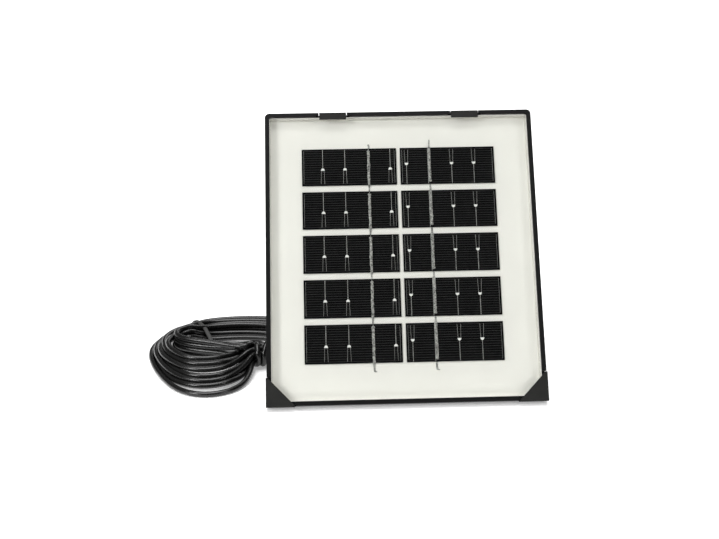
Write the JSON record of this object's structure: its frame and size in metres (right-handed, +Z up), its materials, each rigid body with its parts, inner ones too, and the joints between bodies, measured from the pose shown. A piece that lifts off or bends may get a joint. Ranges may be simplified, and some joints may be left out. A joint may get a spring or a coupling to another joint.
{
  "type": "solar fountain pump",
  "caption": "Framed solar panel on a folding tilt leg, wired by a thin cable tied in a hank to a small submersible fountain pump with an upright spray nozzle.",
  "frame": {"origin": "middle of the flat on the panel frame's lower back edge, on the ground", "axes": "+Z up, the panel faces -Y and leans back towards +Y, +X is to the right as seen from the front"},
  "size_m": [0.2046, 0.1843, 0.1314],
  "materials": {
    "frame_black": "satin moulded black",
    "clip_charcoal": "matte moulded dark grey",
    "front_glass": "clear, polished",
    "silicon": "dark, smooth, with printed grey fingers",
    "tinned_copper": "soldered, dull silver",
    "backsheet_white": "warm white film",
    "box_black": "fine textured black",
    "screw_steel": "zinc plated",
    "board_green": "solder mask",
    "diode_black": "moulded",
    "gland_rubber": "matte",
    "stand_black": "fine textured black",
    "pad_rubber": "matte",
    "cord_black": "glossy jacket",
    "tie_black": "satin",
    "pump_black": "satin moulded black",
    "potting_resin": "cast resin",
    "core_steel": "laminated",
    "winding_copper": "enamelled wire",
    "shaft_ceramic": "ground",
    "bush_rubber": "matte",
    "ferrite_magnet": "sintered",
    "impeller_white": "moulded",
    "seal_rubber": "satin",
    "cage_black": "satin moulded black",
    "slider_grey": "moulded",
    "riser_smoke": "smoked",
    "nozzle_black": "satin moulded black",
    "cup_rubber": "soft, satin"
  },
  "bodies": {
    "panel_and_pump": {"panel_frame": "frame_black", "retaining_clip_left": "clip_charcoal", "retaining_clip_right": "clip_charcoal", "corner_cap_left": "clip_charcoal", "corner_cap_right": "clip_charcoal", "front_glass": "front_glass", "cell_1_left": "silicon", "cell_1_right": "silicon", "cell_2_left": "silicon", "cell_2_right": "silicon", "cell_3_left": "silicon", "cell_3_right": "silicon", "cell_4_left": "silicon", "cell_4_right": "silicon", "cell_5_left": "silicon", "cell_5_right": "silicon", "bus_ribbon_left": "tinned_copper", "bus_ribbon_right": "tinned_copper", "backsheet": "backsheet_white", "junction_box": "box_black", "junction_lid": "box_black", "lid_screw_upper": "screw_steel", "lid_screw_lower": "screw_steel", "bracket_screw_left": "screw_steel", "bracket_screw_right": "screw_steel", "clamp_nut": "screw_steel", "junction_board": "board_green", "pump_board": "board_green", "blocking_diode": "diode_black", "cable_gland": "gland_rubber", "cord_boss": "gland_rubber", "hinge_bracket": "stand_black", "cord_lead": "cord_black", "cord_hank": "cord_black", "cord_tail": "cord_black", "hank_tie": "tie_black", "pump_housing": "pump_black", "volute_cover": "pump_black", "potting_plate": "potting_resin", "motor_core": "core_steel", "motor_winding": "winding_copper", "rotor_shaft": "shaft_ceramic", "shaft_bush_rear": "bush_rubber", "shaft_bush_front": "bush_rubber", "seal_ring": "seal_rubber", "suction_cup_1": "cup_rubber", "suction_cup_2": "cup_rubber", "suction_cup_3": "cup_rubber", "suction_cup_4": "cup_rubber"},
    "stand_leg": {"prop_leg": "stand_black", "foot_pad": "pad_rubber"},
    "clamp_knob": {"thumb_screw": "stand_black"},
    "rotor": {"rotor_magnet": "ferrite_magnet", "impeller": "impeller_white"},
    "intake": {"intake_cover": "cage_black"},
    "flow_control": {"flow_slider": "slider_grey"},
    "riser": {"riser_tube": "riser_smoke"},
    "nozzle": {"spray_nozzle": "nozzle_black"}
  },
  "joints": [
    {"name": "leg_tilt", "type": "hinge", "parent": "panel_and_pump", "child": "stand_leg", "pos_m": [0, 0.05739, 0.0757], "axis": [1, 0, 0], "range_deg": [-62, 26]},
    {"name": "clamp_turn", "type": "hinge", "parent": "panel_and_pump", "child": "clamp_knob", "pos_m": [0, 0.05739, 0.0757], "axis": [1, 0, 0], "range_deg": [-720, 0]},
    {"name": "rotor_spin", "type": "hinge", "parent": "panel_and_pump", "child": "rotor", "pos_m": [-0.04, 0.127, 0.023], "axis": [0, 1, 0], "continuous": true},
    {"name": "intake_pull", "type": "slide", "parent": "panel_and_pump", "child": "intake", "axis": [0, 1, 0], "range_m": [0, 0.016]},
    {"name": "flow_set", "type": "slide", "parent": "intake", "child": "flow_control", "axis": [1, 0, 0], "range_m": [0, 0.008]},
    {"name": "riser_pull", "type": "slide", "parent": "panel_and_pump", "child": "riser", "axis": [0, 0, 1], "range_m": [0, 0.012]},
    {"name": "nozzle_pull", "type": "slide", "parent": "riser", "child": "nozzle", "axis": [0, 0, 1], "range_m": [0, 0.01]}
  ]
}
